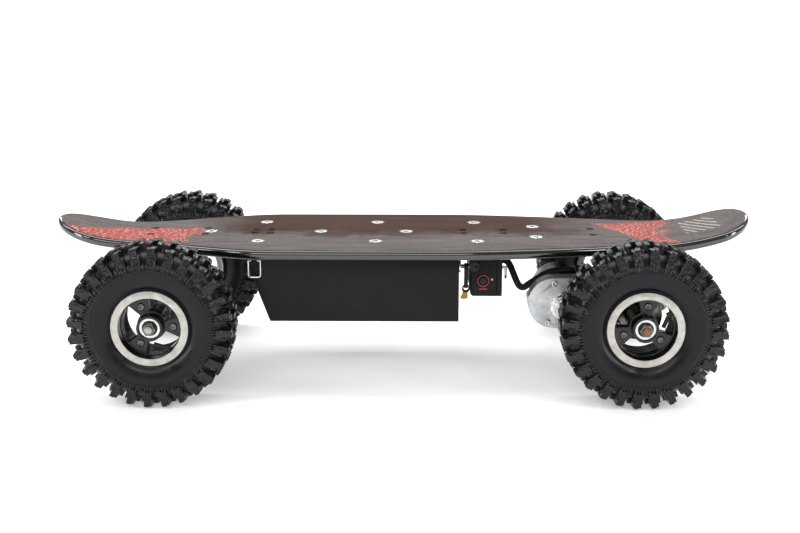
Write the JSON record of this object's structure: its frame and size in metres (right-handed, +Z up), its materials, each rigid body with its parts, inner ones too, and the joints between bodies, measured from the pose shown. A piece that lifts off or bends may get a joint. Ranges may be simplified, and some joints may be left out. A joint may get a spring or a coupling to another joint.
{
  "type": "electric skateboard",
  "caption": "Off-road electric skateboard: curved deck on two sprung lean-to-steer trucks, knobby pneumatic wheels, slung battery and control boxes, geared motor drive.",
  "frame": {"origin": "on the ground, under the middle of the deck", "axes": "+X to the tail and motor end, +Y to the right of a rider who faces the nose, +Z up"},
  "size_m": [1.134, 0.47, 0.2646],
  "materials": {
    "aerial_sleeve": "sleeve with rubber tip",
    "axle_steel": "turned",
    "battery_case": "moulded ABS",
    "bearing_steel": "ground",
    "black_box": "satin powder coat",
    "black_fastener": "black oxide",
    "black_sheet": "satin powder coat",
    "black_steel": "powder coat",
    "bright_wire": "bright zinc",
    "button": "moulded",
    "cable_jacket": "corrugated jacket",
    "cast_aluminium": "die cast, bead blasted",
    "cast_hanger": "shot blasted",
    "chrome_lock": "polished",
    "circuit_board": "solder resist",
    "gear_steel": "hobbed and oiled",
    "grip_tape": "printed silicon carbide grit",
    "key_brass": "stamped",
    "lacquered_ply": "black gloss lacquer over maple ply",
    "motor_black": "black enamel",
    "rim": "machined lip over black enamel",
    "rim_black": "black enamel",
    "rotor_iron": "laminated, varnished",
    "rubber": "moulded",
    "strap_webbing": "woven",
    "tube_rubber": "smooth butyl",
    "tyre": "moulded tread rubber",
    "zinc_fastener": "zinc plated"
  },
  "bodies": {
    "deck_assembly": {"deck": "lacquered_ply", "grip_tape": "grip_tape", "star_inserts": "zinc_fastener", "countersunk_bolts": "black_fastener", "front_channel": "black_steel", "rear_channel": "black_steel", "king_bolts": "zinc_fastener", "front_elastomers": "rubber", "rear_elastomers": "rubber", "battery_box": "black_sheet", "batteries": "battery_case", "key_lock": "chrome_lock", "control_box": "black_box", "control_end_panel": "black_box", "controller_board": "circuit_board", "receiver_aerial": "aerial_sleeve", "motor_lead": "cable_jacket"},
    "front_truck": {"front_hanger": "cast_hanger", "front_axle": "axle_steel", "front_axle_nuts": "zinc_fastener"},
    "rear_truck": {"rear_hanger": "cast_hanger", "rear_axle": "axle_steel", "rear_axle_nuts": "zinc_fastener", "motor_can": "motor_black", "gear_housing": "cast_aluminium", "gear_cover": "cast_aluminium", "gear_screws": "zinc_fastener", "idler_pin": "axle_steel"},
    "front_left_wheel": {"front_left_tyre": "tyre", "front_left_tube": "tube_rubber", "front_left_rim_outer": "rim", "front_left_rim_inner": "rim_black", "front_left_bearings": "bearing_steel", "front_left_rim_bolts": "zinc_fastener"},
    "front_right_wheel": {"front_right_tyre": "tyre", "front_right_tube": "tube_rubber", "front_right_rim_outer": "rim", "front_right_rim_inner": "rim_black", "front_right_bearings": "bearing_steel", "front_right_rim_bolts": "zinc_fastener"},
    "rear_left_wheel": {"rear_left_tyre": "tyre", "rear_left_tube": "tube_rubber", "rear_left_rim_outer": "rim", "rear_left_rim_inner": "rim_black", "rear_left_bearings": "bearing_steel", "rear_left_rim_bolts": "zinc_fastener", "output_gear": "gear_steel"},
    "rear_right_wheel": {"rear_right_tyre": "tyre", "rear_right_tube": "tube_rubber", "rear_right_rim_outer": "rim", "rear_right_rim_inner": "rim_black", "rear_right_bearings": "bearing_steel", "rear_right_rim_bolts": "zinc_fastener"},
    "idler": {"idler_gear": "gear_steel"},
    "rotor": {"motor_rotor": "rotor_iron"},
    "button": {"power_button": "button"},
    "key": {"ignition_key": "key_brass"},
    "key_ring": {"key_loop": "strap_webbing", "spare_keys": "key_brass"},
    "bail": {"wire_bail": "bright_wire"}
  },
  "joints": [
    {"name": "front_truck_lean", "type": "hinge", "parent": "deck_assembly", "child": "front_truck", "pos_m": [-0.372, 0, 0.168], "axis": [-0.9063, 0, 0.4226], "range_deg": [-10, 10], "stiffness_Nm_per_rad": 320, "deforming": ["front_elastomers"]},
    {"name": "rear_truck_lean", "type": "hinge", "parent": "deck_assembly", "child": "rear_truck", "pos_m": [0.362, 0, 0.168], "axis": [0.9063, 0, 0.4226], "range_deg": [-10, 10], "stiffness_Nm_per_rad": 320, "deforming": ["rear_elastomers", "motor_lead"]},
    {"name": "front_left_spin", "type": "hinge", "parent": "front_truck", "child": "front_left_wheel", "pos_m": [-0.38, -0.19075, 0.1283], "axis": [0, 1, 0], "continuous": true},
    {"name": "front_right_spin", "type": "hinge", "parent": "front_truck", "child": "front_right_wheel", "pos_m": [-0.38, 0.19075, 0.1283], "axis": [0, 1, 0], "continuous": true},
    {"name": "rear_left_spin", "type": "hinge", "parent": "rear_truck", "child": "rear_left_wheel", "pos_m": [0.37, -0.19075, 0.1283], "axis": [0, 1, 0], "continuous": true},
    {"name": "rear_right_spin", "type": "hinge", "parent": "rear_truck", "child": "rear_right_wheel", "pos_m": [0.37, 0.19075, 0.1283], "axis": [0, 1, 0], "continuous": true},
    {"name": "idler_spin", "type": "hinge", "parent": "rear_truck", "child": "idler", "pos_m": [0.301, -0.08, 0.1283], "axis": [0, 1, 0], "continuous": true},
    {"name": "rotor_spin", "type": "hinge", "parent": "rear_truck", "child": "rotor", "pos_m": [0.25975, -0.08, 0.1283], "axis": [0, 1, 0], "continuous": true},
    {"name": "button_press", "type": "slide", "parent": "deck_assembly", "child": "button", "axis": [0, 1, 0], "range_m": [0, 0.002], "stiffness_N_per_m": 600, "springref_m": -0.001},
    {"name": "key_turn", "type": "hinge", "parent": "deck_assembly", "child": "key", "pos_m": [0.1, -0.088, 0.192], "axis": [1, 0, 0], "range_deg": [0, 90]},
    {"name": "key_ring_swing", "type": "hinge", "parent": "deck_assembly", "child": "key_ring", "pos_m": [0.1035, -0.088, 0.192], "axis": [1, 0, 0], "range_deg": [-35, 15]},
    {"name": "bail_swing", "type": "hinge", "parent": "deck_assembly", "child": "bail", "pos_m": [-0.2335, -0.1045, 0.2045], "axis": [1, 0, 0], "range_deg": [-95, 3]}
  ],
  "couplings": [
    {"joint": "idler_spin", "follows": "rear_left_spin", "ratio": -1.1395},
    {"joint": "rotor_spin", "follows": "rear_left_spin", "ratio": 4.0833}
  ]
}
